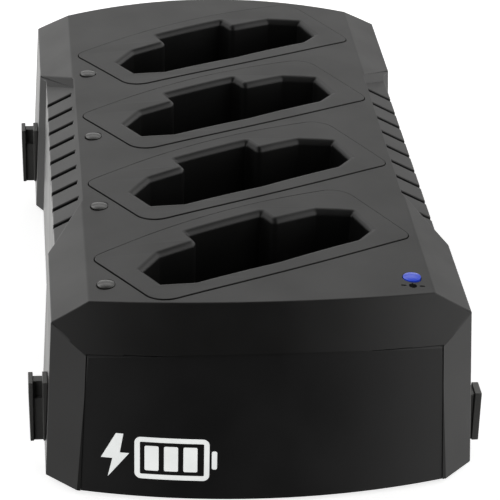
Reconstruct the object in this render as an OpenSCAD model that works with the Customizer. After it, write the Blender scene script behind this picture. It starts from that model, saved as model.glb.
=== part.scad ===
// Four-bay desktop charging station for wireless bodypacks.
// Frame: X to the right, -Y to the front panel, +Z up, origin on the table
// surface under the centre of the body.

/* [Body] */
// Half width of the crowned top between its long edges
top_half_w = 49.5; // [47:0.5:51]
// Half length of the top, measured at its corners
top_half_l = 102; // [100:0.5:104]
// Height of the long top edges above the table
edge_z = 55.5; // [54:0.5:58]
// Rise of the crown above the long top edges
crown = 2.5; // [1.5:0.1:3.5]
// Half width at the shoulder, where side bevel meets side wall
shoulder_half_w = 60.3; // [58:0.5:62]
// Drop of the side bevel from top edge to shoulder
shoulder_drop = 5.7; // [5:0.1:7]
// Half width of the side walls at the bottom edge
foot_half_w = 62.5; // [61:0.1:64]
// Bow of the front and rear faces, seen from above
bow = 7.1; // [5:0.1:9]
// Height of the bottom edge of the casing above the table
base_z = 1.2; // [0.8:0.1:2]
// Wall thickness of side walls and bevels
wall = 2.4; // [2:0.1:3]
// Thickness of the roof that carries the bay inserts
roof = 3.0; // [2.6:0.1:3.6]

/* [Front and rear panels] */
// Width of the shadow gap above each panel
panel_gap = 0.15; // [0.1:0.05:0.8]
// Set-back of each panel behind the corner facets
panel_back = 0.3; // [0.2:0.05:0.8]
// Thickness of each panel
panel_thick = 2.4; // [2:0.1:3]

/* [Bays] */
// Number of bays in the row
bays = 4; // [4:1:4]
// Distance between neighbouring bays
bay_pitch = 48.1; // [47.5:0.1:48.5]
// Centre of the first bay, nearest the front
bay_y0 = -72.9; // [-73.5:0.1:-72]
// Turn of each bay away from square to the body
bay_turn = 26.565; // [26:0.1:27]
// Wall thickness of a bay pocket
pocket_wall = 1.6; // [1.2:0.1:2]
// Height of the pocket floor above the table
pocket_z = 12; // [11.8:0.1:12.2]
// Height by which an insert stands proud of the top
insert_proud = 0.3; // [0.1:0.1:0.6]

/* [Vents] */
// Number of vent slots on each side
vents = 9; // [9:1:9]
// Distance between neighbouring slots
vent_pitch = 10.7; // [10.5:0.1:10.9]
// Width of one slot
vent_w = 2.0; // [1.4:0.1:2.4]
// Depth of the sunk vent panel below the bevel
vent_sink = 2.3; // [1.5:0.1:2.6]

/* [Spring contacts] */
// Distance of each contact from the middle of its bay
pin_off = 7.5; // [6:0.5:8]

/* [Power inlet] */
// Bore of the power inlet
jack_bore = 5.6; // [5.5:0.1:5.8]
// Diameter of the centre pin
jack_pin = 2.1; // [1.9:0.1:2.5]

/* [Hidden] */

reach = 400; // half size of solids that stand for unbounded space
panel_black = [0.06, 0.06, 0.065];
rail_black = [0.08, 0.08, 0.08];
steel = [0.7, 0.7, 0.72];
bright_steel = [0.8, 0.8, 0.82];

// Base plate and board heights
plate_z0 = base_z + 0.6;
plate_t = 2.5;
post_z = plate_z0 + plate_t + 0.05; // underside of the screw posts above the plate
screw_seat_z = plate_z0 + 1.3;
foot_seat_z = plate_z0 + 1;
board_z = 6.2;
board_t = 1.6;
board_top = board_z + board_t;

// Screw and foot places
bosses = [[53, -101], [53, 101], [-53, -101], [-53, 101], [52, 5], [-52, 5]];
panel_screw = [35, 115.2];
board_screw = [42.5, 55];
foot = [44, 86];
foot_r = 6;

// Lights
status_x = -44.25;
status_y0 = -93.6;
power_light = [44, -93.7];

jack_z = 14.2;

// ---- helpers ------------------------------------------------------------
function unit(v) = v / norm(v);
// radius of the arc with the given half chord and rise
function arc_r(half_chord, rise) = (half_chord * half_chord + rise * rise) / (2 * rise);

module box(corner, size) translate(corner) cube(size);
// cylinders that run from place along +Z, +X or +Y
module rod(place, r, h, sides) translate(place) cylinder(r = r, h = h, $fn = sides);
module rod_x(place, r, h, sides)
    translate(place) rotate([0, 90, 0]) cylinder(r = r, h = h, $fn = sides);
module rod_y(place, r, h, sides)
    translate(place) rotate([-90, 0, 0]) cylinder(r = r, h = h, $fn = sides);
module extrude_from(z, h) translate([0, 0, z]) linear_extrude(height = h) children();
// horizontal layer wider than the casing
module slab(z, h) box([-80, -140, z], [160, 280, h]);

// inner side of the plane through p with outward normal n, moved inwards by depth * n
module behind(p, n, depth = 0) {
    translate(p - depth * n) rotate([0, acos(n.z / norm(n)), atan2(n.y, n.x)])
        translate([-reach, -reach, -2 * reach]) cube([2 * reach, 2 * reach, 2 * reach]);
}
// outer side of the same plane
module beyond(p, n, depth = 0) behind(p, -n, -depth);
// space between such a plane on the right and its mirror image on the left
module between(p, n, depth = 0) intersection() {
    behind(p, n, depth);
    mirror([1, 0, 0]) behind(p, n, depth);
}

// anticlockwise polygon with its edges moved inwards by d, outwards where d is negative
function inset(corners, d) = let (count = len(corners)) [for (i = [0:count - 1])
    let (here = corners[i],
        edge_in = unit(here - corners[(i + count - 1) % count]),
        edge_out = unit(corners[(i + 1) % count] - here),
        normal_in = [-edge_in.y, edge_in.x],
        normal_out = [-edge_out.y, edge_out.x])
    here + d * (normal_in + normal_out) / (1 + normal_in * normal_out)];
// polygon with corner i rounded to radii[i] by a number of short chords
function rounded(corners, radii, chords) = let (count = len(corners)) [for (i = [0:count - 1])
    let (here = corners[i],
        to_prev = unit(corners[(i + count - 1) % count] - here),
        to_next = unit(corners[(i + 1) % count] - here),
        half_angle = acos(max(-1, min(1, to_prev * to_next))) / 2,
        tangent = radii[i] / tan(half_angle),
        centre = here + unit(to_prev + to_next) * (radii[i] / sin(half_angle)),
        first = here + to_prev * tangent - centre,
        last = here + to_next * tangent - centre,
        start = atan2(first.y, first.x),
        turn = atan2(last.y, last.x) - start,
        sweep = turn > 180 ? turn - 360 : (turn < -180 ? turn + 360 : turn))
    for (j = [0:chords])
        centre + radii[i] * [cos(start + sweep * j / chords), sin(start + sweep * j / chords)]];

// ---- placing ------------------------------------------------------------
// frame of bay i, 0 nearest the front
module at_bay(i) translate([0, bay_y0 + bay_pitch * i, 0]) rotate([0, 0, bay_turn]) children();
module at_status(i, z = 0) translate([status_x, status_y0 + bay_pitch * i, z]) children();
module at_power_light(z = 0) translate([power_light.x, power_light.y, z]) children();
module at_bosses(z) for (b = bosses) translate([b.x, b.y, z]) children();
// the four points (+-place.x, +-place.y)
module at_corners(place, z)
    for (x = [-place.x, place.x], y = [-place.y, place.y]) translate([x, y, z]) children();

// ---- outer form ---------------------------------------------------------
// Planes are given by a point and an outward normal.
top_edge = [top_half_w, 0, edge_z];
bevel_n = unit([shoulder_drop, 0, shoulder_half_w - top_half_w]);
wall_foot = [foot_half_w, 0, base_z];
wall_n = unit([edge_z - shoulder_drop - base_z, 0, foot_half_w - shoulder_half_w]);
// front right corner facet
facet_p = [56.52, -110.615, 25.5];
facet_n = [0.7029, -0.7054, 0.0918];

crown_r = arc_r(top_half_w, crown);
end_bevel_run = 11.8;
end_bevel_drop = 10.4;
end_bevel_n = unit([0, -end_bevel_drop, end_bevel_run]); // at mid width
end_bevel_r = arc_r(top_half_w, crown * end_bevel_n.z - bow * end_bevel_n.y);
// front face: a cone about a vertical axis
face_r = 197; // at base_z
face_y = 73;
face_slope = 0.0706;
face_h = 80;

// everything below the crowned top
module crown_cyl(depth = 0) translate([0, 0, edge_z + crown - crown_r]) rotate([90, 0, 0])
    cylinder(r = crown_r - depth, h = 2 * reach, center = true, $fn = 1440);
// everything below the front end bevel
module end_bevel(depth)
    translate([0, -top_half_l - bow, edge_z + crown] - end_bevel_n * end_bevel_r)
        rotate([-atan2(end_bevel_run, end_bevel_drop), 0, 0])
        cylinder(r = end_bevel_r - depth, h = 2 * reach, center = true, $fn = 720);
// everything behind the front face
module end_face(depth) translate([0, face_y, 0])
    cylinder(r1 = face_r + base_z * face_slope - depth,
        r2 = face_r + base_z * face_slope - face_h * face_slope - depth,
        h = face_h, $fn = 720);
// outer form moved inwards by depth, and at the crown by at least top_depth
module envelope(depth, top_depth = 0) intersection() {
    slab(base_z, 80);
    crown_cyl(max(depth, top_depth));
    end_bevel(depth);
    mirror([0, 1, 0]) end_bevel(depth);
    end_face(depth);
    mirror([0, 1, 0]) end_face(depth);
    between(top_edge, bevel_n, depth);
    between(wall_foot, wall_n, depth);
    between(facet_p, facet_n, depth);
    mirror([0, 1, 0]) between(facet_p, facet_n, depth);
}

// ---- sunk vent panels and wall insets -----------------------------------
// slope that ends the vent panel towards +Y
sink_p = [60.7, 63.5, 49.5];
sink_n = [-0.79, 0.425, -0.436];
// slope that ends the vent panel towards -Y
fade_p = [60.2, -63.4, 49.85];
fade_n = [-0.848, -0.291, -0.443];
// step that ends the wall inset towards +Y, mirrored for -Y
step_n = [-0.867, 0.495, -0.063];
// face of the wall inset at the bottom edge
inset_half_w = 60;
inset_n = [46.2, 0, 1.7];

// space sunk into the right-hand side, grown inwards by grow
module sunk(grow) {
    intersection() {
        beyond(top_edge, bevel_n, vent_sink + grow);
        beyond([top_half_w - 0.2 - grow, 0, 0], [1, 0, 0]);
        behind(sink_p, sink_n, -grow);
        behind(fade_p, fade_n, -grow);
        box([0, -100, 0], [80, 200, 80]);
    }
    intersection() {
        beyond([inset_half_w - grow, 0, base_z], inset_n);
        behind(sink_p, step_n, -grow);
        mirror([0, 1, 0]) behind(sink_p, step_n, -grow);
        box([0, -100, -1], [80, 200, 81]);
    }
}
module both_sunk(grow) {
    sunk(grow);
    mirror([1, 0, 0]) sunk(grow);
}
// outer form less the sunk sides, with a skin taken off each
module casing_form(skin, top_skin, sunk_skin) difference() {
    envelope(skin, top_skin);
    both_sunk(sunk_skin);
}

// ---- panel opening ------------------------------------------------------
opening_half_w = 52.74; // at the bottom edge
opening_n = [43.9, 0, 2.01];
opening_r = arc_r(50.93, crown);
opening_top = edge_z - end_bevel_drop + crown - 0.15;

// region of the front wall that the panel fills, less a gap at the top and the sides
module end_opening(top_gap = 0, side_gap = 0) intersection() {
    box([-80, -140, -5], [160, 45, 80]);
    translate([0, 0, opening_top - opening_r]) rotate([90, 0, 0])
        cylinder(r = opening_r - top_gap, h = 2 * reach, center = true, $fn = 1440);
    between([opening_half_w - side_gap, 0, base_z], opening_n);
}

// ---- bay outlines in the bay's own frame --------------------------------
// Columns: x, y, corner radius.
rim = [[-44.8, 17.5, 3], [-42, -16.7, 7], [3, -21.2, 300],
    [44.8, -17.5, 3], [42, 16.7, 7], [-3, 21.2, 300]];
// pocket mouth, with the relief for a belt clip at the back
mouth = [[-37.6, 3.4, 1.2], [-36.9, -8.3, 1.2], [-27.2, -13.3, 2.5], [-0.5, -15.2, 20],
    [28.9, -13.9, 3], [36.8, -9.9, 1.2], [37.9, 3, 1.2], [27.2, 8.6, 3], [13.1, 9, 1.2],
    [12.6, 15.2, 1.5], [-15.4, 15.7, 1.5], [-15.9, 9.2, 1.2], [-27.8, 9.1, 3]];
function points(outline) = [for (c = outline) [c.x, c.y]];

module rim2d(grow = 0)
    polygon(rounded(inset(points(rim), -grow), [for (c = rim) c[2] + grow], chords = 8));
module mouth2d(grow = 0)
    polygon(rounded(inset(points(mouth), -grow),
        [for (c = mouth) max(0.4, c[2] + max(grow, 0))], chords = 4));

// ---- casing -------------------------------------------------------------
rim_seat = 1.8; // depth of the recess for an insert's rim
rim_gap = 0.3;
mouth_gap = 0.4;
vent_y0 = -43.7;
status_head_r = 2.53;
power_head_r = 2.6;
// link rail screws; columns: height, distance of the head seat from mid width
rail_screws = [[9.5, 59.45], [16.5, 59.1]];
rail_front_y = -95.5;
rail_rear_y = 71;
rail_ys = [rail_front_y, rail_rear_y];

// vent slot k on the right-hand side, 0 nearest the front
module vent_slot(k)
    box([50.3, vent_y0 + vent_pitch * k - vent_w / 2, 45.8], [20, vent_w, 20]);
module vent_slots() {
    // the first slot runs into the slope that ends the vent panel
    intersection() {
        vent_slot(0);
        behind(fade_p, fade_n);
    }
    for (k = [1:vents - 1]) vent_slot(k);
}
module bay_cutout(i) {
    intersection() {
        at_bay(i) extrude_from(40, 30) rim2d(rim_gap);
        difference() {
            box([-60, -130, 40], [120, 260, 30]);
            crown_cyl(rim_seat);
        }
    }
    at_bay(i) extrude_from(30, 40) mouth2d(mouth_gap);
}
module top_cover() color([0.11, 0.11, 0.115]) difference() {
    union() {
        difference() {
            casing_form(0, 0, 0);
            casing_form(wall, roof, 2.2);
        }
        for (b = bosses) intersection() {
            rod([b.x, b.y, post_z], 3.5, 60, 48);
            casing_form(1, 1, 1);
        }
    }
    end_opening();
    mirror([0, 1, 0]) end_opening();
    for (i = [0:bays - 1]) {
        bay_cutout(i);
        at_status(i, 40) cylinder(r = status_head_r + 0.09, h = 30, $fn = 48);
    }
    at_power_light(40) cylinder(r = power_head_r + 0.1, h = 30, $fn = 48);
    for (s = [0, 1]) mirror([s, 0, 0]) vent_slots();
    at_bosses(0) cylinder(r = 1.3, h = 20, $fn = 32);
    for (s = [0, 1], y = rail_ys, hole = rail_screws) mirror([s, 0, 0])
        rod_x([50, y, hole[0]], 1.6, 20, 32);
}
// panel in its place at the front
module end_panel() difference() {
    union() {
        intersection() {
            difference() {
                envelope(panel_back);
                envelope(panel_back + panel_thick);
            }
            end_opening(panel_gap, 0.05);
        }
        for (s = [-1, 1]) rod([panel_screw.x * s, -panel_screw.y, post_z], 3, 12, 40);
    }
    for (s = [-1, 1]) rod([panel_screw.x * s, -panel_screw.y, 0], 1.1, 13, 32);
}
module front_panel() color(panel_black) end_panel();
module rear_panel() color(panel_black) difference() {
    mirror([0, 1, 0]) end_panel();
    rod_y([0, 100, jack_z], 4.6, 40, 64);
}
// screw hole with a recess for the head on the underside
module sunk_hole(hole_r, head_r) {
    cylinder(r = hole_r, h = 10, $fn = 40);
    cylinder(r = head_r, h = screw_seat_z, $fn = 40);
}
module base_plate() color([0.09, 0.09, 0.095]) difference() {
    union() {
        intersection() {
            casing_form(3.1, 0, 3.0);
            slab(plate_z0, plate_t);
        }
        // board posts
        at_corners(board_screw, plate_z0 + 1)
            cylinder(r = 3, h = board_z - plate_z0 - 1, $fn = 40);
    }
    at_bosses(0) sunk_hole(1.7, 3.2);
    at_corners(panel_screw, 0) sunk_hole(1.5, 2.7);
    at_corners(foot, 0) cylinder(r = foot_r + 0.1, h = foot_seat_z, $fn = 64);
    at_corners(board_screw, plate_z0 + 1.2) cylinder(r = 1.1, h = 10, $fn = 32);
    // row of slots through the plate
    for (k = [-4:4]) box([-15, 14 * k - 1.2, 0], [30, 2.4, 10]);
}

// ---- bay inserts --------------------------------------------------------
contact_y = -3; // line of the contacts, in the bay's frame
block_size = [24, 9, 5.2];
block_gap = 0.1; // between contact block and pocket floor

// footprint of the contact block, grown by gap
module block_box(z, h, gap = 0)
    box([-block_size.x / 2 - gap, contact_y - block_size.y / 2 - gap, z],
        [block_size.x + 2 * gap, block_size.y + 2 * gap, h]);
module bay_insert(i) color([0.13, 0.13, 0.13]) difference() {
    union() {
        // rim
        difference() {
            intersection() {
                at_bay(i) extrude_from(45, 20) rim2d();
                crown_cyl(-insert_proud);
            }
            crown_cyl(rim_seat - 0.05);
        }
        // pocket
        intersection() {
            at_bay(i) extrude_from(pocket_z - pocket_wall, 60) mouth2d();
            crown_cyl(0.5);
        }
    }
    at_bay(i) extrude_from(pocket_z, 60) mouth2d(-pocket_wall);
    at_bay(i) block_box(0, 40, block_gap);
}

// ---- light pipes --------------------------------------------------------
dome_rise = 0.45;
flange_z = 51;

module lens_stem() rod([0, 0, 9], 2, 43.5, 40);
module lens_flange() rod([0, 0, flange_z], 4, 1.55, 48);
// cylinder under a shallow dome whose edge lies at edge_top
module lens_head(r, edge_top) {
    dome_r = arc_r(r, dome_rise);
    intersection() {
        rod([0, 0, 52], r, 6, 48);
        translate([0, 0, edge_top + dome_rise - dome_r]) sphere(r = dome_r, $fn = 96);
    }
}
module status_light_pipe(i) color([0.55, 0.55, 0.53]) at_status(i) {
    lens_stem();
    // flange cut flat on its left side
    intersection() {
        lens_flange();
        box([-2.5, -5, flange_z - 1], [10, 10, 5]);
    }
    lens_head(status_head_r, 56.2);
}
module power_lens() color([0.1, 0.25, 0.85]) at_power_light() {
    lens_stem();
    lens_flange();
    lens_head(power_head_r, 56.25);
}

// ---- electronics --------------------------------------------------------
// Columns: x and y of the corner, size in x, y and z.
chips = [[20, -98, 7, 7, 1], [-34, 92, 7, 7, 1], [30, -24, 5, 5, 0.9],
    [-36, 22, 5, 5, 0.9], [-30, 80, 10, 6, 1.2]];
// Columns: x, y of the centre.
inductors = [[36, -76], [36, -32], [-40, 18], [-40, 66]];
capacitors = [[14, -100], [14, 100], [-14, 100], [30, -84]];

// place of a contact in the bay's frame; side is -1 for the left one, 1 for the right
module at_pin(side, z = 0) translate([pin_off * side, contact_y, z]) children();
module main_board() color([0.05, 0.25, 0.12]) difference() {
    union() {
        box([-46, -104, board_z], [92, 208, board_t]);
        // tongue under the power inlet
        box([-14, 100, board_z], [28, 17, board_t]);
    }
    at_corners(board_screw, 0) cylinder(r = 1.6, h = 20, $fn = 32);
    for (i = [0:bays - 1]) at_bay(i)
        for (s = [-1, 1]) at_pin(s) cylinder(r = 0.5, h = 20, $fn = 24);
}
module board_chips() color([0.07, 0.07, 0.07])
    for (c = chips) box([c[0], c[1], board_top], [c[2], c[3], c[4]]);
module board_inductors() color([0.2, 0.2, 0.2])
    for (p = inductors) translate([p.x, p.y, board_top]) {
        box([-3.5, -3.5, 0], [7, 7, 1]);
        cylinder(r = 3.2, h = 3.2, $fn = 32);
    }
module board_capacitors() color([0.15, 0.15, 0.3])
    for (p = capacitors) rod([p.x, p.y, board_top], 3, 8, 32);
module led() box([-1.4, -0.8, 0], [2.8, 1.6, 0.9]);
module status_leds() color([0.9, 0.9, 0.85])
    for (i = [0:bays - 1]) at_status(i, board_top) led();
module power_led() color([0.8, 0.85, 0.9]) at_power_light(board_top) led();

// ---- spring contacts ----------------------------------------------------
pin_r = 0.75;
pin_tip_z = 7; // centre of the round tip above the board
barrel_r = 1.5;
spring_turns = 3.5;

module contact_block(i) color([0.15, 0.15, 0.16]) at_bay(i) difference() {
    block_box(board_top, block_size.z);
    for (s = [-1, 1]) at_pin(s) cylinder(r = barrel_r + 0.03, h = 30, $fn = 40);
}
module contact_barrels() color([0.75, 0.6, 0.25])
    for (i = [0:bays - 1]) at_bay(i) for (s = [-1, 1]) at_pin(s) {
        difference() {
            rod([0, 0, board_top], barrel_r, block_size.z, 40);
            rod([0, 0, board_top + 0.6], 1.15, 4, 40);
            rod([0, 0, board_top + 1], 0.8, 10, 40);
        }
        // tail through the board
        rod([0, 0, board_z - 1], 0.42, board_t + 1.2, 24);
    }
module contact_pin(i, side) color([0.85, 0.7, 0.3]) at_bay(i) at_pin(side, board_top) {
    // collar held inside the barrel
    rod([0, 0, 3.2], 1.1, 1.35, 40);
    rod([0, 0, 4.4], pin_r, pin_tip_z - 4.4, 40);
    translate([0, 0, pin_tip_z]) sphere(r = pin_r, $fn = 32);
}
module contact_spring(i, side) color(bright_steel) at_bay(i) at_pin(side, board_top + 0.65)
    linear_extrude(height = 2.5, twist = -360 * spring_turns, slices = 12 * spring_turns)
        translate([0.8, 0]) circle(r = 0.15, $fn = 5);

// ---- power inlet --------------------------------------------------------
pin_y0 = 107.1;
pin_len = 13.4;

module power_inlet() color([0.08, 0.08, 0.08]) difference() {
    union() {
        box([-5.5, 105, board_top], [11, 12.5, 12]);
        rod_y([0, 117, jack_z], 4.4, 5.3, 64);
    }
    rod_y([0, 112.5, jack_z], jack_bore / 2, 12, 48);
    rod_y([0, pin_y0 - 0.1, jack_z], jack_pin / 2 + 0.02, 12, 48);
}
module inlet_centre_pin() color(bright_steel) {
    rod_y([0, pin_y0, jack_z], jack_pin / 2, pin_len, 48);
    translate([0, pin_y0 + pin_len, jack_z]) sphere(d = jack_pin, $fn = 32);
}

// ---- side link rails ----------------------------------------------------
// Both forms are drawn for the right-hand side, in the frame of rail_placed.
rail_z0 = 6.9;
// Columns: corner, size.
left_blocks = [[[59, -3.4, 0], [3.9, 6.8, 19.8]], [[59, -2.7, 0], [7, 4.6, 14.4]],
    [[59, -1.3, 14], [7, 3.2, 5.3]]];
right_blocks = [[[59, -3.3, -4.3], [3.9, 6.6, 15.7]], [[59, -2.8, -4.3], [6, 5.6, 15.7]],
    [[64.3, -3.3, -4.3], [2.1, 6.6, 16.3]]];

module rail_left_form() {
    for (b = left_blocks) box(b[0], b[1]);
    // outer flange, its face drawn in towards the bottom
    difference() {
        box([65.6, -3.3, 0], [1.4, 6.6, 19.8]);
        beyond([67, 0, 16.6], [0.9998, 0, -0.018]);
    }
}
module rail_right_form() for (b = right_blocks) box(b[0], b[1]);
// rail form set at y, cut to the side wall and drilled for its screws
module rail_placed(y) difference() {
    translate([0, y, rail_z0]) children();
    behind(wall_foot + [0.03, 0, 0], wall_n);
    for (hole = rail_screws) rod_x([50, y, hole[0]], 1.28, 15, 32);
}
module rail_left(y) color(rail_black) mirror([1, 0, 0]) rail_placed(y) rail_left_form();
module rail_right(y) color(rail_black) rail_placed(y) rail_right_form();
module link_rail_left_front() rail_left(rail_front_y);
module link_rail_left_rear() rail_left(rail_rear_y);
module link_rail_right_front() rail_right(rail_front_y);
module link_rail_right_rear() rail_right(rail_rear_y);

// ---- fasteners and feet -------------------------------------------------
// screw along +Z with its cross-slotted head below z = 0
module screw(shank_r, shank_l, head_r, head_h) difference() {
    union() {
        rod([0, 0, -0.1], shank_r, shank_l + 0.1, 32);
        rod([0, 0, -head_h], head_r, head_h, 40);
    }
    for (a = [0, 90]) rotate([0, 0, a])
        box([-head_r * 0.6, -0.25, -head_h - 1], [head_r * 1.2, 0.5, 1.6]);
}
module link_screws() color(steel)
    for (s = [0, 1], y = rail_ys, hole = rail_screws) mirror([s, 0, 0])
        translate([hole[1], y, hole[0]]) rotate([0, 90, 0]) screw(1.25, 5.2, 2.4, 1.5);
module cover_screws() color(steel) at_bosses(screw_seat_z) screw(1.27, 12, 2.9, 1.2);
module panel_screws() color(steel)
    at_corners(panel_screw, screw_seat_z) screw(1.07, 8, 2.4, 1.1);
module board_screws() color(steel)
    at_corners(board_screw, board_top) mirror([0, 0, 1]) screw(1.07, 4, 2.4, 1.2);
module rubber_feet() color([0.05, 0.05, 0.05])
    at_corners(foot, 0) cylinder(r = foot_r, h = foot_seat_z - 0.02, $fn = 64);

top_cover();
front_panel();
rear_panel();
base_plate();
bay_insert(0);  // bay_insert_1
bay_insert(1);  // bay_insert_2
bay_insert(2);  // bay_insert_3
bay_insert(3);  // bay_insert_4
status_light_pipe(0);  // status_light_pipe_1
status_light_pipe(1);  // status_light_pipe_2
status_light_pipe(2);  // status_light_pipe_3
status_light_pipe(3);  // status_light_pipe_4
power_lens();
main_board();
board_chips();
board_inductors();
board_capacitors();
status_leds();
power_led();
contact_block(0);  // contact_block_1
contact_block(1);  // contact_block_2
contact_block(2);  // contact_block_3
contact_block(3);  // contact_block_4
contact_barrels();
contact_pin(0, -1);  // contact_pin_1a
contact_pin(0, 1);  // contact_pin_1b
contact_pin(1, -1);  // contact_pin_2a
contact_pin(1, 1);  // contact_pin_2b
contact_pin(2, -1);  // contact_pin_3a
contact_pin(2, 1);  // contact_pin_3b
contact_pin(3, -1);  // contact_pin_4a
contact_pin(3, 1);  // contact_pin_4b
contact_spring(0, -1);  // contact_spring_1a
contact_spring(0, 1);  // contact_spring_1b
contact_spring(1, -1);  // contact_spring_2a
contact_spring(1, 1);  // contact_spring_2b
contact_spring(2, -1);  // contact_spring_3a
contact_spring(2, 1);  // contact_spring_3b
contact_spring(3, -1);  // contact_spring_4a
contact_spring(3, 1);  // contact_spring_4b
power_inlet();
inlet_centre_pin();
link_rail_left_front();
link_rail_left_rear();
link_rail_right_front();
link_rail_right_rear();
link_screws();
cover_screws();
panel_screws();
board_screws();
rubber_feet();
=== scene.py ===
"""Looks of the bodypack charging station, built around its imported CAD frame."""

import math

import bmesh
import bpy
from mathutils import Matrix, Vector
from mathutils.bvhtree import BVHTree
from mathutils.geometry import tessellate_polygon


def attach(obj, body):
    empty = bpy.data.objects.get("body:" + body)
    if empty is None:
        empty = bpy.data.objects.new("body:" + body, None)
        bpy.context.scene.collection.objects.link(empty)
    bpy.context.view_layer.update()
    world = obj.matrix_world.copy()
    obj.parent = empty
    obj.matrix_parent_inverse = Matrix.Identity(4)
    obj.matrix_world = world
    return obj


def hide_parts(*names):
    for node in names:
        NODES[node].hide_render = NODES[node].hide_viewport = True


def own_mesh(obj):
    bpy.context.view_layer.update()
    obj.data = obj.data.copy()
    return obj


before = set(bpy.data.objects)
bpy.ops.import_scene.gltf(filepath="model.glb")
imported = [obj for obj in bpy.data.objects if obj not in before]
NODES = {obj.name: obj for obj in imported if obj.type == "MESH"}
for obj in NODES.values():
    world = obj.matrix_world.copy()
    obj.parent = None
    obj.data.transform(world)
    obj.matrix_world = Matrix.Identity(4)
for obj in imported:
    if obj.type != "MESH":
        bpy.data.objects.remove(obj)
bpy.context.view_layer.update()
MM = 0.001
scene = bpy.context.scene
scene.view_settings.view_transform = "Standard"
scene.view_settings.look = "None"


# ---------------------------------------------------------------- materials
def socket(node, *names):
    for n in names:
        if n in node.inputs:
            return node.inputs[n]
    return None


class Mat:
    """A small builder for procedural node materials; textures use object coordinates in metres."""

    def __init__(self, name):
        self.m = bpy.data.materials.new(name)
        self.m.use_nodes = True
        self.t = self.m.node_tree
        self.t.nodes.clear()
        self.out = self.t.nodes.new("ShaderNodeOutputMaterial")
        self.b = self.t.nodes.new("ShaderNodeBsdfPrincipled")
        self.t.links.new(self.b.outputs[0], self.out.inputs[0])
        tc = self.t.nodes.new("ShaderNodeTexCoord")
        self.co = tc.outputs["Object"]

    def node(self, kind, **kw):
        n = self.t.nodes.new(kind)
        for k, v in kw.items():
            setattr(n, k, v)
        return n

    def link(self, a, b):
        self.t.links.new(a, b)

    def noise(self, scale, detail=2.0, rough=0.5, co=None, distortion=0.0):
        n = self.node("ShaderNodeTexNoise")
        n.inputs["Scale"].default_value = scale
        n.inputs["Detail"].default_value = detail
        n.inputs["Roughness"].default_value = rough
        n.inputs["Distortion"].default_value = distortion
        self.link(co or self.co, n.inputs["Vector"])
        return n.outputs["Fac"]

    def voronoi(self, scale, feature="F1", co=None):
        n = self.node("ShaderNodeTexVoronoi", feature=feature)
        n.inputs["Scale"].default_value = scale
        self.link(co or self.co, n.inputs["Vector"])
        return n.outputs["Distance"]

    def remap(self, value, a, b, c, d):
        n = self.node("ShaderNodeMapRange")
        for i, v in enumerate((a, b, c, d)):
            n.inputs[i + 1].default_value = v
        self.link(value, n.inputs[0])
        return n.outputs[0]

    def math(self, op, a, b=None):
        n = self.node("ShaderNodeMath", operation=op)
        for i, v in enumerate((a, b)):
            if v is None:
                continue
            if isinstance(v, (int, float)):
                n.inputs[i].default_value = v
            else:
                self.link(v, n.inputs[i])
        return n.outputs[0]

    def mix(self, fac, a, b):
        n = self.node("ShaderNodeMix", data_type="RGBA")
        if isinstance(fac, (int, float)):
            n.inputs[0].default_value = fac
        else:
            self.link(fac, n.inputs[0])
        for i, v in ((6, a), (7, b)):
            if isinstance(v, (tuple, list)):
                n.inputs[i].default_value = (*v[:3], 1)
            else:
                self.link(v, n.inputs[i])
        return n.outputs[2]

    def bump(self, height, strength, distance, normal=None):
        n = self.node("ShaderNodeBump")
        n.inputs["Strength"].default_value = strength
        n.inputs["Distance"].default_value = distance
        self.link(height, n.inputs["Height"])
        if normal is not None:
            self.link(normal, n.inputs["Normal"])
        return n.outputs[0]

    def set(self, **kw):
        for k, v in kw.items():
            s = self.b.inputs[k.replace("_", " ")]
            if isinstance(v, (int, float)):
                s.default_value = v
            elif isinstance(v, (tuple, list)):
                s.default_value = (*v[:3], 1)
            else:
                self.link(v, s)
        return self


def plastic(name, base, rough=0.5, grain=0.00032, depth=0.000008, wear_and_sheen=0.25, spec=0.5, tint=(1, 1, 1), dust=0.03):
    """Spark-eroded moulded plastic: fine pits, faint flow mottling, and edges lightened partly as rubbed wear and
    partly as a painted sheen highlight.
    """
    m = Mat(name)
    g = m.noise(1 / grain, 3, 0.6)
    pits = m.voronoi(1 / (grain * 1.3))
    height = m.math("ADD", m.math("MULTIPLY", g, 0.7), m.math("MULTIPLY", pits, 0.5))
    flow = m.noise(38, 3, 0.55, distortion=0.4)
    fine = m.noise(900, 2, 0.5)
    dark = tuple(c * 0.9 for c in base)
    light = tuple(c * 1.12 * t for c, t in zip(base, tint))
    col = m.mix(m.remap(flow, 0.3, 0.7, 0, 1), dark, light)
    col = m.mix(m.remap(fine, 0.35, 0.75, 0, 0.35), col, tuple(c * 1.35 for c in base))
    bev = m.node("ShaderNodeBevel", samples=4)
    bev.inputs["Radius"].default_value = 0.0006
    geo = m.node("ShaderNodeNewGeometry")
    dot = m.node("ShaderNodeVectorMath", operation="DOT_PRODUCT")
    m.link(bev.outputs[0], dot.inputs[0])
    m.link(geo.outputs["Normal"], dot.inputs[1])
    # edges found through the bevel normal are lightened: partly rubbed wear, partly a painted sheen highlight
    edge = m.remap(dot.outputs["Value"], 0.995, 0.9, 0, wear_and_sheen)
    edge = m.math("MULTIPLY", edge, m.remap(m.noise(160, 2), 0.35, 0.6, 0.35, 1))
    col = m.mix(edge, col, tuple(min(1, c * 2.2 + 0.01) for c in base))
    up = m.node("ShaderNodeSeparateXYZ")
    m.link(geo.outputs["Normal"], up.inputs[0])
    settle = m.math("MULTIPLY", m.remap(up.outputs["Z"], 0.6, 1, 0, dust), m.remap(m.noise(70, 4, 0.6), 0.4, 0.75, 0, 1))
    col = m.mix(settle, col, (0.35, 0.34, 0.32))
    r = m.remap(m.noise(55, 3), 0.3, 0.7, rough - 0.04, rough + 0.05)
    m.set(Base_Color=col, Roughness=r, Specular_IOR_Level=spec, Normal=m.bump(height, 0.6, depth))
    return m


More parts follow.
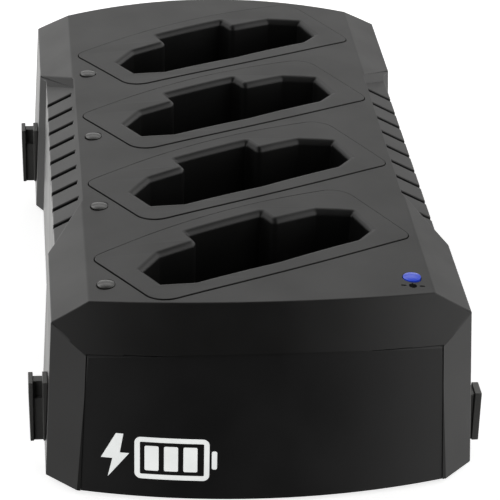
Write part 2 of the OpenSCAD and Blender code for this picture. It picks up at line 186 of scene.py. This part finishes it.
def simple(name, base, rough, metal=0.0, grain=0.0004, depth=0.00001, spec=0.5, coat=0.0):
    m = Mat(name)
    n = m.noise(1 / grain, 2)
    big = m.noise(120, 3)
    col = m.mix(m.remap(big, 0.3, 0.7, 0, 1), tuple(c * 0.88 for c in base), tuple(min(1, c * 1.1) for c in base))
    m.set(Base_Color=col, Roughness=m.remap(n, 0.3, 0.7, max(0.02, rough - 0.05), rough + 0.06),
          Metallic=metal, Specular_IOR_Level=spec, Coat_Weight=coat, Normal=m.bump(n, 0.5, depth))
    return m


def brushed(name, base, rough, axis=2):
    """Turned or drawn metal with fine lines round one axis."""
    m = Mat(name)
    mp = m.node("ShaderNodeMapping")
    sc = [400.0, 400.0, 400.0]
    sc[axis] = 9000.0
    mp.inputs["Scale"].default_value = sc
    m.link(m.co, mp.inputs["Vector"])
    n = m.noise(1.0, 3, 0.6, co=mp.outputs[0])
    col = m.mix(m.remap(n, 0.3, 0.7, 0, 1), tuple(c * 0.8 for c in base), base)
    m.set(Base_Color=col, Metallic=1.0, Roughness=m.remap(n, 0.3, 0.7, rough - 0.06, rough + 0.08),
          Normal=m.bump(n, 0.3, 0.000006))
    return m


def clear_plastic(name, base, rough=0.25, trans=0.6, glow=None, glow_strength=0.0):
    m = Mat(name)
    n = m.noise(1500, 2)
    swirl = m.noise(400, 2, distortion=1.0)
    col = m.mix(m.remap(swirl, 0.3, 0.7, 0, 1), tuple(c * 0.9 for c in base), tuple(min(1, c * 1.08) for c in base))
    m.set(Base_Color=col, Roughness=m.remap(n, 0.3, 0.7, rough - 0.04, rough + 0.05), Transmission_Weight=trans,
          IOR=1.49, Coat_Weight=0.3, Normal=m.bump(n, 0.3, 0.000004))
    if glow:
        geo = m.node("ShaderNodeNewGeometry")
        sep = m.node("ShaderNodeSeparateXYZ")
        m.link(geo.outputs["Normal"], sep.inputs[0])
        s = m.remap(sep.outputs["Z"], 0.55, 1.0, glow_strength * 0.55, glow_strength)
        m.set(Emission_Color=glow)
        m.link(s, m.b.inputs["Emission Strength"])
    return m


M = {}
M["casing"] = plastic("casing_plastic", (0.0075, 0.0074, 0.0073), 0.37, wear_and_sheen=0.12, dust=0.006)
M["panel"] = plastic("panel_plastic", (0.012, 0.012, 0.0123), 0.37, grain=0.00022, depth=0.000006, wear_and_sheen=0.1, dust=0.0)
M["base"] = plastic("base_plastic", (0.011, 0.011, 0.0115), 0.5, wear_and_sheen=0.1)
M["insert"] = plastic("insert_plastic", (0.0062, 0.0062, 0.0061), 0.37, grain=0.00028, wear_and_sheen=0.1, dust=0.006)
M["rail"] = plastic("rail_plastic", (0.12, 0.12, 0.117), 0.45, grain=0.0003, wear_and_sheen=0.12)
M["contact"] = plastic("contact_plastic", (0.013, 0.013, 0.0135), 0.42, wear_and_sheen=0.1)
M["inlet"] = plastic("inlet_plastic", (0.009, 0.009, 0.009), 0.4, wear_and_sheen=0.12)
M["pipe"] = clear_plastic("light_pipe_plastic", (0.036, 0.036, 0.034), 0.13, 0.2)
M["lens"] = clear_plastic("blue_lens", (0.02, 0.05, 0.4), 0.16, 0.1, (0.02, 0.09, 1.0), 0.3)
M["pcb"] = simple("circuit_board", (0.012, 0.09, 0.03), 0.35, coat=0.4)
M["chip"] = simple("chip_plastic", (0.02, 0.02, 0.02), 0.5)
M["ferrite"] = simple("ferrite", (0.05, 0.05, 0.052), 0.6, grain=0.0003, depth=0.00003)
M["can"] = brushed("capacitor_can", (0.7, 0.7, 0.72), 0.3)
M["led"] = simple("led_white", (0.85, 0.82, 0.65), 0.3)
M["gold"] = brushed("gold_plate", (0.95, 0.68, 0.3), 0.22)
M["spring"] = brushed("spring_steel", (0.6, 0.6, 0.6), 0.3)
M["nickel"] = brushed("nickel", (0.78, 0.76, 0.72), 0.2, axis=1)
M["screw"] = brushed("screw_steel", (0.5, 0.5, 0.52), 0.34)
M["rubber"] = simple("foot_rubber", (0.012, 0.012, 0.012), 0.75, grain=0.0005, depth=0.00004)
M["print"] = simple("print_white_painted_glow", (0.86, 0.87, 0.865), 0.5, grain=0.0003)
# painted glow: the white print emits light of its own, so it stays bright whatever light falls on it
M["print"].set(Emission_Color=(0.9, 0.93, 0.92))
M["print"].b.inputs["Emission Strength"].default_value = 0.52
M["print_dark"] = simple("print_dark", (0.002, 0.002, 0.002), 0.85, grain=0.0003, spec=0.1)


def paint(obj, mat):
    obj.data.materials.clear()
    obj.data.materials.append(M[mat].m)


BY_NODE = {"base_plate": "base", "main_board": "pcb", "board_chips": "chip", "board_inductors": "ferrite",
           "board_capacitors": "can", "status_leds": "led", "power_led": "led", "contact_barrels": "gold",
           "power_inlet": "inlet", "inlet_centre_pin": "nickel", "link_screws": "screw", "cover_screws": "screw",
           "panel_screws": "screw", "board_screws": "screw", "rubber_feet": "rubber", "top_cover": "casing",
           "front_panel": "panel", "rear_panel": "panel", "power_lens": "lens"}
for n, o in NODES.items():
    k = BY_NODE.get(n)
    if k is None:
        k = ("insert" if n.startswith("bay_insert") else "pipe" if n.startswith("status_light") else
             "contact" if n.startswith("contact_block") else "gold" if n.startswith("contact_pin") else
             "spring" if n.startswith("contact_spring") else "rail")
    paint(o, k)


# each coil gets a mesh of its own, so that it can shorten with its own pin: 1.2 mm lower at the top, still on its
# barrel floor
for i in range(1, 5):
    for side in "ab":
        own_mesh(NODES[f"contact_spring_{i}{side}"])


# ------------------------------------------------------------ refined forms
def new_piece(name, bm, mat, body="station", stands_for=(), smooth=35):
    me = bpy.data.meshes.new(name)
    bmesh.ops.recalc_face_normals(bm, faces=bm.faces)
    bm.to_mesh(me)
    bm.free()
    o = bpy.data.objects.new(name, me)
    scene.collection.objects.link(o)
    paint(o, mat)
    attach(o, body)
    if stands_for:
        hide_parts(*stands_for)
    for p in me.polygons:
        p.use_smooth = True
    me.set_sharp_from_angle(angle=math.radians(smooth))
    return o


def cad_bmesh(node):
    bm = bmesh.new()
    bm.from_mesh(NODES[node].data)
    bmesh.ops.remove_doubles(bm, verts=bm.verts, dist=3e-6)
    bmesh.ops.dissolve_degenerate(bm, edges=bm.edges, dist=2e-6)
    bmesh.ops.dissolve_limit(bm, angle_limit=math.radians(0.25), verts=bm.verts, edges=bm.edges,
                             delimit={"NORMAL"})
    bm.normal_update()
    return bm


def outer_edges(bm, least=18, most=150, where=None):
    """Convex sharp edges that can be seen from outside the piece."""
    tree = BVHTree.FromBMesh(bm)
    out = []
    for e in bm.edges:
        if len(e.link_faces) != 2 or e.calc_length() < 2e-4:
            continue
        a = math.degrees(e.calc_face_angle(0.0))
        if not least < a < most or not e.is_convex:
            continue
        mid = (e.verts[0].co + e.verts[1].co) / 2
        if where and not where(mid):
            continue
        n = (e.link_faces[0].normal + e.link_faces[1].normal).normalized()
        if tree.ray_cast(mid + n * 2e-5, n, 0.3)[0] is None:
            out.append(e)
    return out


def even_shading(o):
    """Large faces keep their own direction and the narrow strips beside them take up the turn."""
    wn = o.modifiers.new("shade", "WEIGHTED_NORMAL")
    wn.mode = "FACE_AREA"
    wn.weight = 100
    wn.thresh = 0.01
    wn.keep_sharp = True


def bevelled(node, name, mat, width, where=None, least=18, body="station", segments=3):
    bm = cad_bmesh(node)
    o = new_piece(name, bm, mat, body, (node,))
    bm = bmesh.new()
    bm.from_mesh(o.data)
    bm.normal_update()
    layer = bm.edges.layers.float.new("bevel_weight_edge")
    for e in outer_edges(bm, least, where=where):
        e[layer] = 1.0
    bm.to_mesh(o.data)
    bm.free()
    mod = o.modifiers.new("edge", "BEVEL")
    mod.limit_method = "WEIGHT"
    mod.width = width
    mod.segments = segments
    mod.profile = 0.5
    mod.use_clamp_overlap = False
    mod.miter_outer = "MITER_SHARP"
    mod.harden_normals = False
    even_shading(o)
    return o


# ------------------------------------------------ true directions of the curved faces
EDGE_Z, RISE, HALF_W, HALF_L, BOW = 55.5, 2.5, 49.5, 102.0, 7.1
CROWN_R = (HALF_W ** 2 + RISE ** 2) / (2 * RISE)
CROWN_Z = EDGE_Z + RISE - CROWN_R
RUN, DROP = 11.8, 10.4
SLOPE = math.hypot(RUN, DROP)
END_N = Vector((0, -DROP / SLOPE, RUN / SLOPE))
END_AXIS = Vector((0, RUN / SLOPE, DROP / SLOPE))
END_SAG = BOW * DROP / SLOPE + RISE * RUN / SLOPE
END_R = (HALF_W ** 2 + END_SAG ** 2) / (2 * END_SAG)
FACE_R, FACE_Y, FACE_SLOPE, BASE_Z = 197.0, 73.0, 0.0706, 1.2


def crown_dir(p):
    v = Vector((p.x, 0, p.z - CROWN_Z))
    return v.normalized(), v.length - CROWN_R


def end_dir(p):
    q = Vector((p.x, -abs(p.y), p.z))
    v = q - (Vector((0, -HALF_L - BOW, EDGE_Z + RISE)) - END_N * END_R)
    v -= END_AXIS * v.dot(END_AXIS)
    n = v.normalized()
    return (Vector((n.x, -n.y, n.z)) if p.y > 0 else n), v.length - END_R


def face_dir(p):
    v = Vector((p.x, -abs(p.y) - FACE_Y, 0))
    n = Vector((v.x, v.y, v.length * FACE_SLOPE)).normalized()
    off = v.length - (FACE_R - (p.z - BASE_Z) * FACE_SLOPE)
    return (Vector((n.x, -n.y, n.z)) if p.y > 0 else n), off


BEVEL_U = Vector((0.4668, 0.0, 0.8844))
FADE_P, FADE_N = Vector((60.2, -63.4, 49.85)), Vector((-0.848, -0.291, -0.443))


def beside_step(c):
    """True for the narrow step at the head of a sunk vent panel, whose corners turn over softly into the slope."""
    q = Vector((abs(c.x), c.y, c.z))
    depth = (q.x - 49.5) * BEVEL_U.x + (q.z - 55.5) * BEVEL_U.z
    head = 48.8 < q.x < 49.95 and -66 < q.y < 72
    fade = q.y < -38 and abs((q - FADE_P).dot(FADE_N)) < 0.5
    return -2.45 < depth < 0.12 and q.z > 46 and (head or fade)


def true_shading(o, rules, flat_above=2.5, soften=None):
    """Fixes the modifiers into the mesh, then gives faces lying on a known curve that curve's own directions
    and keeps every other large face flat."""
    dg = bpy.context.evaluated_depsgraph_get()
    me = bpy.data.meshes.new_from_object(o.evaluated_get(dg), preserve_all_data_layers=True, depsgraph=dg)
    o.modifiers.clear()
    o.data = me
    normals = [c.vector.copy() for c in me.corner_normals]
    for p in me.polygons:
        c = p.center / MM
        for rule, lo, hi in rules:
            n, off = rule(c)
            if lo <= off <= hi and p.normal.dot(n) > 0.9993:
                for k in p.loop_indices:
                    normals[k] = rule(me.vertices[me.loops[k].vertex_index].co / MM)[0]
                break
        else:
            if p.area > flat_above * MM * MM:
                for k in p.loop_indices:
                    normals[k] = p.normal.copy()
        if soften and soften(c):
            side = 1 if c.x > 0 else -1
            for k in p.loop_indices:
                if normals[k].x * side > 0.6:
                    normals[k] = Vector((BEVEL_U.x * side, 0, BEVEL_U.z))
    me.normals_split_custom_set(normals)


# -------------------------------------------------------------- bay liners
RIM = [(-44.8, 17.5), (-42, -16.7), (3, -21.2), (44.8, -17.5), (42, 16.7), (-3, 21.2)]
RIM_R = [3, 7, 300, 3, 7, 300]
MOUTH = [(-37.6, 3.4), (-36.9, -8.3), (-27.2, -13.3), (-0.5, -15.2), (28.9, -13.9), (36.8, -9.9), (37.9, 3),
         (27.2, 8.6), (13.1, 9), (12.6, 15.2), (-15.4, 15.7), (-15.9, 9.2), (-27.8, 9.1)]
MOUTH_R = [1.2, 1.2, 2.5, 20, 3, 1.2, 1.2, 3, 0.6, 1.5, 1.5, 0.6, 3]
BAY_Y0, PITCH, TURN = -72.9, 48.1, math.atan(0.5)


def crown(x, d=0.0):
    return CROWN_Z + math.sqrt((CROWN_R - d) ** 2 - x * x)


def inset(p, d):
    out = []
    for i, b in enumerate(p):
        a, c = p[i - 1], p[(i + 1) % len(p)]
        u = (Vector(b) - Vector(a)).normalized()
        v = (Vector(c) - Vector(b)).normalized()
        n1, n2 = Vector((-u.y, u.x)), Vector((-v.y, v.x))
        out.append(Vector(b) + (n1 + n2) * (d / (1 + n1.dot(n2))))
    return out


def rounded(p, r, n):
    out = []
    for i, b in enumerate(p):
        b = Vector(b)
        u = (Vector(p[i - 1]) - b).normalized()
        v = (Vector(p[(i + 1) % len(p)]) - b).normalized()
        h = math.acos(max(-1, min(1, u.dot(v)))) / 2
        t = r[i] / math.tan(h)
        c = b + (u + v).normalized() * (r[i] / math.sin(h))
        s, e = b + u * t - c, b + v * t - c
        a0 = math.atan2(s.y, s.x)
        da = math.atan2(e.y, e.x) - a0
        da = da - 2 * math.pi if da > math.pi else da + 2 * math.pi if da < -math.pi else da
        out += [c + r[i] * Vector((math.cos(a0 + da * j / n), math.sin(a0 + da * j / n))) for j in range(n + 1)]
    return out


# corners of the mouth that turn the other way, where a fillet grows as it goes in
REFLEX = {8, 11}
TOP = 0.18
START = math.radians(7)


def dense(points, guide, step=5.0):
    """The same loop with its long sides split, each into as many pieces as the guide loop needs."""
    out = []
    for k, p in enumerate(points):
        q = points[(k + 1) % len(points)]
        n = max(1, math.ceil((guide[(k + 1) % len(guide)] - guide[k]).length / step))
        out += [p + (q - p) * (j / n) for j in range(n)]
    return out


def mouth_loop(d, n=5):
    ring = lambda e: rounded(inset(MOUTH, e), [max(0.35, q + (e if i in REFLEX else -min(e, q - 0.4) * 0.6))
                                               for i, q in enumerate(MOUTH_R)], n)
    return dense(ring(d), ring(0))


def rim_loop(d):
    ring = lambda e: rounded(inset(RIM, e - 0.1), [q - e + 0.1 for q in RIM_R], 10)
    return dense(ring(d), ring(0))


def bay_liner(i):
    bm = bmesh.new()
    turn = Matrix.Rotation(TURN, 4, "Z")
    cy = BAY_Y0 + PITCH * i

    def place(q, z=None, over=None):
        w = turn @ Vector((q[0], q[1], 0))
        x, y = w.x, w.y + cy
        zz = z if z is not None else crown(x) + over
        return bm.verts.new((x * MM, y * MM, zz * MM))

    def loop(points, z=None, over=None):
        return [place(q, z, over) for q in points]

    def bridge(a, b):
        for k in range(len(a)):
            bm.faces.new((a[k], a[(k + 1) % len(a)], b[(k + 1) % len(a)], b[k]))

    # rim: underside edge, side, rounded top edge and the line that keeps the land flat
    outer = [loop(rim_loop(0), over=-1.72), loop(rim_loop(0), over=TOP - 0.16)]
    for k in range(1, 7):
        a = math.pi / 2 * k / 6
        outer.append(loop(rim_loop(0.16 * (1 - math.cos(a))), over=TOP - 0.16 + 0.16 * math.sin(a)))
    outer.append(loop(rim_loop(0.22), over=TOP))
    for a, b in zip(outer, outer[1:]):
        bridge(a, b)
    # mouth: lead-in fillet and wall
    inner = []
    for k in range(0, 9):
        a = START + (math.pi / 2 - START) * k / 8
        f = (math.sin(a) - math.sin(START)) / (1 - math.sin(START))
        g = (math.cos(START) - math.cos(a)) / math.cos(START)
        inner.append(loop(mouth_loop(-0.45 + 2.05 * f), over=TOP - 1.95 * g))
    wall = mouth_loop(1.6)
    inner.append(loop(wall, z=14.0))
    inner.append(loop(mouth_loop(1.95), z=12.3))
    inner.append(loop(mouth_loop(2.4), z=12.0))
    for a, b in zip(inner, inner[1:]):
        bridge(a, b)
    # top land between rim and mouth
    top_o, top_i = outer[-1], inner[0]
    tri = tessellate_polygon([[v.co.copy() for v in top_o], [v.co.copy() for v in top_i]])
    both = top_o + top_i
    for t in tri:
        try:
            bm.faces.new([both[k] for k in t])
        except ValueError:
            pass
    # floor with the window for the contact block
    win = [(-12.1, -7.6), (12.1, -7.6), (12.1, 1.6), (-12.1, 1.6)]
    wt = loop(win, z=12.0)
    fl = inner[-1]
    both = fl + wt
    for t in tessellate_polygon([[v.co.copy() for v in fl], [v.co.copy() for v in wt]]):
        try:
            bm.faces.new([both[k] for k in t])
        except ValueError:
            pass
    wb = loop(win, z=10.4)
    bridge(wt, wb)
    # outside of the pocket and underside
    ow = [loop(mouth_loop(0), z=10.4), loop(mouth_loop(0), over=-1.72)]
    both = ow[0] + wb
    for t in tessellate_polygon([[v.co.copy() for v in ow[0]], [v.co.copy() for v in wb]]):
        try:
            bm.faces.new([both[k] for k in t])
        except ValueError:
            pass
    bridge(*ow)
    both = outer[0] + ow[1]
    for t in tessellate_polygon([[v.co.copy() for v in outer[0]], [v.co.copy() for v in ow[1]]]):
        try:
            bm.faces.new([both[k] for k in t])
        except ValueError:
            pass
    bmesh.ops.remove_doubles(bm, verts=bm.verts, dist=1e-6)
    o = new_piece(f"bay_liner_{i + 1}", bm, "insert", stands_for=(f"bay_insert_{i + 1}",), smooth=19)
    true_shading(o, [(crown_dir, TOP - 0.06, TOP + 0.05)], flat_above=1e9)
    return o


for i in range(4):
    bay_liner(i)

# ------------------------------------------------------------- casing parts
outside = lambda p: p.z > 0.0035


def casing_edges(p):
    """Outside edges, leaving the mouths of the two end openings crisp."""
    at_opening = abs(p.x) < 0.0529 and abs(p.y) > 0.098 and p.z < 0.0458
    return p.z > 0.0035 and not at_opening


casing = bevelled("top_cover", "casing_shell", "casing", 0.00034, casing_edges, least=14)
front = bevelled("front_panel", "front_face_panel", "panel", 0.0001, outside)
rear = bevelled("rear_panel", "rear_face_panel", "panel", 0.0001, outside)
bpy.context.view_layer.update()
true_shading(casing, [(crown_dir, -0.06, 0.05), (end_dir, -0.06, 0.05), (face_dir, -0.06, 0.05)], soften=beside_step)
for o in (front, rear):
    true_shading(o, [(face_dir, -0.5, 0.05)])
for side in ("left", "right"):
    for end in ("front", "rear"):
        bevelled(f"link_rail_{side}_{end}", f"side_rail_{side}_{end}", "rail", 0.00022)


# ------------------------------------------------------------------- prints
def surface_patch(name, outlines, tree, origin, direction, lift, mat, res=0.0012):
    """Thin ink shapes laid on a curved surface: each outline is a list of 2-D points in mm."""
    bm = bmesh.new()
    for pts in outlines:
        vs = [bm.verts.new((x * MM, z * MM, 0)) for x, z in pts]
        bm.faces.new(vs)
    bmesh.ops.triangulate(bm, faces=bm.faces)
    for _ in range(7):
        longs = [e for e in bm.edges if e.calc_length() > res]
        if not longs:
            break
        bmesh.ops.subdivide_edges(bm, edges=longs, cuts=1)
        bmesh.ops.triangulate(bm, faces=[f for f in bm.faces if len(f.verts) > 4])
    for v in bm.verts:
        p = origin(v.co.x, v.co.y)
        hit = tree.ray_cast(p, direction, 1.0)
        if hit[0] is not None:
            v.co = hit[0] + hit[1] * lift
    ext = bmesh.ops.extrude_face_region(bm, geom=bm.faces[:])
    moved = [g for g in ext["geom"] if isinstance(g, bmesh.types.BMVert)]
    for v in moved:
        v.co -= direction * 0.00004
    return new_piece(name, bm, mat, smooth=40)


def evaluated_tree(o):
    dg = bpy.context.evaluated_depsgraph_get()
    e = o.evaluated_get(dg)
    me = e.to_mesh()
    bm = bmesh.new()
    bm.from_mesh(me)
    bm.transform(o.matrix_world)
    t = BVHTree.FromBMesh(bm)
    bm.free()
    e.to_mesh_clear()
    return t


def rbox(x0, z0, x1, z1, r, n=6):
    pts = []
    for cx, cz, a in ((x1 - r, z1 - r, 0), (x0 + r, z1 - r, 90), (x0 + r, z0 + r, 180), (x1 - r, z0 + r, 270)):
        pts += [(cx + r * math.cos(math.radians(a + 90 * k / n)), cz + r * math.sin(math.radians(a + 90 * k / n)))
                for k in range(n + 1)]
    return pts


def frame_outline(x0, z0, x1, z1, r, w):
    """A rounded frame as four bars and four corner arcs, so each face stays simple."""
    out = [[(x0 + r, z1 - w), (x1 - r, z1 - w), (x1 - r, z1), (x0 + r, z1)],
           [(x0 + r, z0), (x1 - r, z0), (x1 - r, z0 + w), (x0 + r, z0 + w)],
           [(x0, z0 + r), (x0 + w, z0 + r), (x0 + w, z1 - r), (x0, z1 - r)],
           [(x1 - w, z0 + r), (x1, z0 + r), (x1, z1 - r), (x1 - w, z1 - r)]]
    for cx, cz, a in ((x1 - r, z1 - r, 0), (x0 + r, z1 - r, 90), (x0 + r, z0 + r, 180), (x1 - r, z0 + r, 270)):
        n = 8
        arc = lambda q: [(cx + q * math.cos(math.radians(a + 90 * k / n)), cz + q * math.sin(math.radians(a + 90 * k / n)))
                         for k in range(n + 1)]
        out.append(arc(r) + arc(r - w)[::-1])
    return out


bpy.context.view_layer.update()
front_tree = evaluated_tree(front)
mark = [[(-42.1, 20.6), (-46.6, 12.0), (-43.2, 12.0), (-41.0, 14.1), (-39.9, 20.6)],
        [(-43.2, 12.0), (-44.6, 5.6), (-38.2, 14.1), (-41.0, 14.1)]]
mark += frame_outline(-36.6, 5.8, -14.2, 20.0, 2.0, 1.6)
mark += [rbox(-13.5, 9.8, -11.9, 16.0, 0.6)]
for k in range(3):
    mark.append(rbox(-33.6 + 5.8 * k, 8.7, -33.6 + 5.8 * k + 4.2, 17.1, 0.5))
mark = [[((x + 29.25) * 0.946 - 30.4, (z - 13.1) * 0.946 + 14.05) for x, z in pts] for pts in mark]
surface_patch("charge_mark", mark, front_tree, lambda a, b: Vector((a, -0.2, b)), Vector((0, 1, 0)), 0.00002,
              "print")

casing_tree = evaluated_tree(casing)


def ring_sector(cx, cy, r, w, a0, a1, n=24):
    f = lambda q: [(cx + q * math.cos(math.radians(a0 + (a1 - a0) * k / n)), cy + q * math.sin(math.radians(a0 + (a1 - a0) * k / n)))
                   for k in range(n + 1)]
    return f(r) + f(r - w)[::-1]


px, py = 43.6, -98.6
power = [ring_sector(px, py, 1.15, 0.36, 128, 412), [(px - 0.18, py + 0.3), (px + 0.18, py + 0.3), (px + 0.18, py + 1.45), (px - 0.18, py + 1.45)]]
for q in (-1, 1):
    power.append(rbox(px + 2.7 * q - 0.75, py - 0.24, px + 2.7 * q + 0.75, py + 0.24, 0.2))
surface_patch("power_mark", power, casing_tree, lambda a, b: Vector((a, b, 0.2)), Vector((0, 0, -1)), 0.00002,
              "print_dark", res=0.0006)

# ------------------------------------------------------------ stage and camera
def floor_material():
    """White paper to the camera, with the contact shade kept; other rays look through it at the studio."""
    m = bpy.data.materials.new("studio_floor")
    m.use_nodes = True
    t = m.node_tree
    t.nodes.clear()
    out = t.nodes.new("ShaderNodeOutputMaterial")
    mix = t.nodes.new("ShaderNodeMixShader")
    lp = t.nodes.new("ShaderNodeLightPath")
    away = t.nodes.new("ShaderNodeBsdfTransparent")
    paper = t.nodes.new("ShaderNodeBsdfDiffuse")
    paper.inputs[0].default_value = (0.8, 0.8, 0.8, 1)
    em, add = t.nodes.new("ShaderNodeEmission"), t.nodes.new("ShaderNodeAddShader")
    em.inputs[1].default_value = PAPER
    t.links.new(paper.outputs[0], add.inputs[0])
    t.links.new(em.outputs[0], add.inputs[1])
    t.links.new(lp.outputs["Is Camera Ray"], mix.inputs[0])
    t.links.new(away.outputs[0], mix.inputs[1])
    t.links.new(add.outputs[0], mix.inputs[2])
    t.links.new(mix.outputs[0], out.inputs[0])
    return m


PAPER = 0.76
fm = bmesh.new()
bmesh.ops.create_grid(fm, x_segments=40, y_segments=40, size=6.0)
me = bpy.data.meshes.new("studio_floor")
fm.to_mesh(me)
fm.free()
floor = bpy.data.objects.new("studio_floor", me)
floor.location.z = -0.0002
scene.collection.objects.link(floor)
floor.data.materials.append(floor_material())


def studio_world():
    """A bright sweep behind and at both sides, dark in front and overhead towards the viewer."""
    w = bpy.data.worlds.new("studio")
    w.use_nodes = True
    t = w.node_tree
    t.nodes.clear()
    out = t.nodes.new("ShaderNodeOutputWorld")
    mix = t.nodes.new("ShaderNodeMixShader")
    lp = t.nodes.new("ShaderNodeLightPath")
    room, seen = t.nodes.new("ShaderNodeBackground"), t.nodes.new("ShaderNodeBackground")
    tc = t.nodes.new("ShaderNodeTexCoord")
    nrm = t.nodes.new("ShaderNodeVectorMath")
    nrm.operation = "NORMALIZE"
    sep = t.nodes.new("ShaderNodeSeparateXYZ")
    t.links.new(tc.outputs["Generated"], nrm.inputs[0])
    t.links.new(nrm.outputs[0], sep.inputs[0])

    def ramp(axis, a, b, lo, hi):
        n = t.nodes.new("ShaderNodeMapRange")
        n.interpolation_type = "SMOOTHSTEP"
        t.links.new(sep.outputs[axis], n.inputs[0])
        for i, v in enumerate((a, b, lo, hi)):
            n.inputs[i + 1].default_value = v
        return n.outputs[0]

    def op(kind, a, b):
        n = t.nodes.new("ShaderNodeMath")
        n.operation = kind
        for i, v in enumerate((a, b)):
            if isinstance(v, (int, float)):
                n.inputs[i].default_value = v
            else:
                t.links.new(v, n.inputs[i])
        return n.outputs[0]

    back = ramp("Y", *BACK)
    right_side = ramp("X", *RIGHT)
    left_side = ramp("X", *LEFT)
    back = op("MULTIPLY", back, op("MULTIPLY", ramp("X", *RIGHT_DIM), ramp("X", *LEFT_LIFT)))
    back = op("MULTIPLY", back, ramp("Z", -0.5, -0.2, 0.62, 1.0))
    right_side = op("MULTIPLY", right_side, ramp("Z", -0.4, 0.5, 0.88, 1.28))
    left_side = op("MULTIPLY", left_side, ramp("Z", -0.4, 0.5, 0.8, 1.05))
    rise = op("ADD", ramp("Z", *LOW), ramp("Z", *HIGH))
    level = op("ADD", op("MAXIMUM", op("MULTIPLY", back, rise), op("MAXIMUM", right_side, left_side)), AMBIENT)
    t.links.new(level, room.inputs[1])
    room.inputs[0].default_value = (1, 0.995, 0.985, 1)
    seen.inputs[0].default_value = (1, 1, 1, 1)
    seen.inputs[1].default_value = 1.05
    t.links.new(lp.outputs["Is Camera Ray"], mix.inputs[0])
    t.links.new(room.outputs[0], mix.inputs[1])
    t.links.new(seen.outputs[0], mix.inputs[2])
    t.links.new(mix.outputs[0], out.inputs[0])
    return w


BACK = (0.34, 0.74, 0.0, 0.7)
RIGHT_DIM = (0.2, 0.5, 1.0, 0.5)
LEFT_LIFT = (-0.42, -0.12, 1.68, 1.0)
RIGHT = (0.24, 0.72, 0.0, 1.02)
LEFT = (-0.26, -0.8, 0.0, 0.88)
LOW = (-0.2, 0.2, 2.1, 1.0)
HIGH = (0.42, 0.6, 0.0, 1.0)
AMBIENT = 0.008
scene.world = studio_world()

cam_data = bpy.data.cameras.new("view")
cam_data.lens = 173.034
cam_data.sensor_width = 36
cam_data.clip_start, cam_data.clip_end = 0.05, 30
cam = bpy.data.objects.new("view", cam_data)
scene.collection.objects.link(cam)
right = Vector((0.99520972, -0.09427082, 0.02589649))
up = Vector((0.02274811, 0.48091904, 0.87646985))
ahead = Vector((0.09507965, 0.87168222, -0.48075979))
m = Matrix((right, up, -ahead)).transposed().to_4x4()
m.translation = Vector((-0.0683402, -0.6906131, 0.3954704))
cam.matrix_world = m
scene.camera = cam

bpy.context.view_layer.update()
